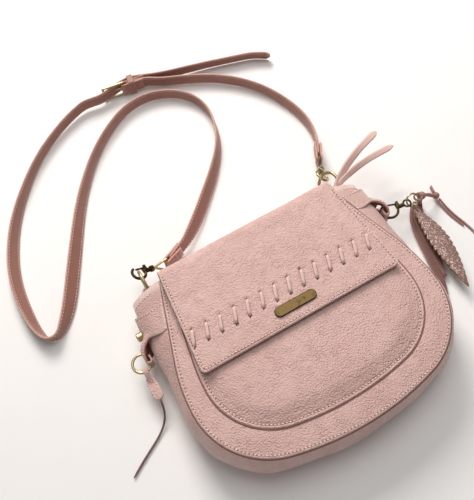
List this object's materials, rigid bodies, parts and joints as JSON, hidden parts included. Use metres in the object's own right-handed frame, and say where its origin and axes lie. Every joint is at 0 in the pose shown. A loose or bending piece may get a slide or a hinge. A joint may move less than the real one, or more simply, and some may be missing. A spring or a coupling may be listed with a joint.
{
  "type": "crossbody purse",
  "caption": "Blush leather saddle crossbody bag lying on its back: laced flap, patch pocket, brass rings, a long buckled strap and a feather charm.",
  "frame": {"origin": "middle of the back panel, on the face that the bag rests on", "axes": "+X along the bag's width to its right as seen from the front, +Y towards the bag's top, +Z out of its front"},
  "size_m": [0.3914, 0.4313, 0.0629],
  "materials": {
    "blush_leather": "pebbled",
    "strap_leather": "smooth",
    "mauve_leather": "matte",
    "glitter_leather": "glitter",
    "antique_brass": "antique",
    "gold_backing": "metallic",
    "khaki_lining": "woven",
    "zip_tape": "woven"
  },
  "bodies": {
    "root": {"back_panel": "blush_leather", "gusset": "blush_leather", "front_panel": "blush_leather", "front_pocket": "blush_leather", "lining_back": "khaki_lining", "lining_front": "khaki_lining", "inner_slip_pocket": "khaki_lining", "zip_facing_back": "blush_leather", "zip_facing_front": "blush_leather", "zip_tape_back": "zip_tape", "zip_tape_front": "zip_tape", "zip_teeth": "antique_brass", "zip_end_stops": "antique_brass", "magnet_female": "antique_brass", "gusset_cap_left": "blush_leather", "gusset_cap_right": "blush_leather", "ring_tab_left": "blush_leather", "ring_tab_right": "blush_leather", "side_wrap_left": "blush_leather", "side_wrap_right": "blush_leather", "side_stud": "antique_brass", "hook_left": "antique_brass", "hook_right": "antique_brass", "hook_eye_left": "antique_brass", "hook_eye_right": "antique_brass", "strap_long": "strap_leather", "strap_short": "strap_leather", "strap_fold_left": "strap_leather", "strap_fold_right": "strap_leather", "strap_fold_buckle": "strap_leather", "buckle_frame": "antique_brass"},
    "flap_top": {"flap_top_leather": "blush_leather", "flap_top_lining": "khaki_lining"},
    "flap_front": {"flap_front_leather": "blush_leather", "flap_front_lining": "khaki_lining", "flap_lacing": "blush_leather", "flap_emblem": "antique_brass", "magnet_male": "antique_brass"},
    "zip_slider": {"zip_slider": "antique_brass", "zip_pull_bail": "antique_brass", "zip_pull_thong": "blush_leather"},
    "ring_left": {"corner_ring_left": "antique_brass"},
    "ring_right": {"corner_ring_right": "antique_brass"},
    "gate_left": {"hook_gate_left": "antique_brass"},
    "gate_right": {"hook_gate_right": "antique_brass"},
    "prong": {"buckle_prong": "antique_brass"},
    "keeper": {"strap_keeper": "strap_leather"},
    "side_charm": {"side_ring": "antique_brass", "side_pull": "blush_leather", "side_lace": "mauve_leather"},
    "charm": {"clasp": "antique_brass", "charm_ring": "antique_brass", "charm_knots": "mauve_leather", "charm_strips": "mauve_leather", "charm_lace_long": "mauve_leather", "charm_lace_short": "mauve_leather"},
    "clasp_gate": {"clasp_gate": "antique_brass"},
    "feather": {"feather_ring": "antique_brass", "feather_leather": "glitter_leather", "feather_backing": "gold_backing"}
  },
  "joints": [
    {"name": "flap_top_fold", "type": "hinge", "parent": "root", "child": "flap_top", "pos_m": [0, 0.0915, 0.0015], "axis": [-1, 0, 0], "range_deg": [0, 25]},
    {"name": "flap_front_fold", "type": "hinge", "parent": "flap_top", "child": "flap_front", "pos_m": [0, 0.0915, 0.0595], "axis": [-1, 0, 0], "range_deg": [0, 140]},
    {"name": "zip_slide", "type": "slide", "parent": "root", "child": "zip_slider", "axis": [-1, 0, 0], "range_m": [0, 0.12], "deforming": ["zip_pull_thong"]},
    {"name": "ring_left_swing", "type": "hinge", "parent": "root", "child": "ring_left", "pos_m": [-0.0955, 0.0918, 0.025], "axis": [1, 0, 0], "range_deg": [-10, 10]},
    {"name": "ring_right_swing", "type": "hinge", "parent": "root", "child": "ring_right", "pos_m": [0.0955, 0.0918, 0.025], "axis": [0.766, 0, -0.6428], "range_deg": [-8, 8]},
    {"name": "gate_left_press", "type": "hinge", "parent": "root", "child": "gate_left", "pos_m": [-0.08976, 0.11803, 0.02156], "axis": [0.4808, 0.059, 0.8749], "range_deg": [0, 13], "stiffness_Nm_per_rad": 0.003, "springref_deg": -11.46},
    {"name": "gate_right_press", "type": "hinge", "parent": "root", "child": "gate_right", "pos_m": [0.09633, 0.12149, 0.02331], "axis": [0.6907, 0.0832, 0.7183], "range_deg": [0, 13], "stiffness_Nm_per_rad": 0.003, "springref_deg": -11.46},
    {"name": "prong_lift", "type": "hinge", "parent": "root", "child": "prong", "pos_m": [-0.01511, 0.32047, 0.0095], "axis": [0, 0, -1], "range_deg": [0, 10]},
    {"name": "keeper_slide", "type": "slide", "parent": "root", "child": "keeper", "axis": [0.9903, -0.1392, 0], "range_m": [0, 0.004]},
    {"name": "side_charm_swing", "type": "hinge", "parent": "root", "child": "side_charm", "pos_m": [-0.1255, 0.04, 0.02], "axis": [0, 0, 1], "range_deg": [-6, 8]},
    {"name": "charm_swing", "type": "hinge", "parent": "root", "child": "charm", "pos_m": [0.1255, 0.053, 0.02], "axis": [0, 0, 1], "range_deg": [-5, 5]},
    {"name": "clasp_gate_press", "type": "hinge", "parent": "charm", "child": "clasp_gate", "pos_m": [0.1381, 0.05555, 0.02], "axis": [0, 0, 1], "range_deg": [0, 18], "stiffness_Nm_per_rad": 0.003, "springref_deg": -11.46},
    {"name": "feather_swing", "type": "hinge", "parent": "charm", "child": "feather", "pos_m": [0.15301, 0.04615, 0.01491], "axis": [0, 0, 1], "range_deg": [-6, 6]}
  ]
}
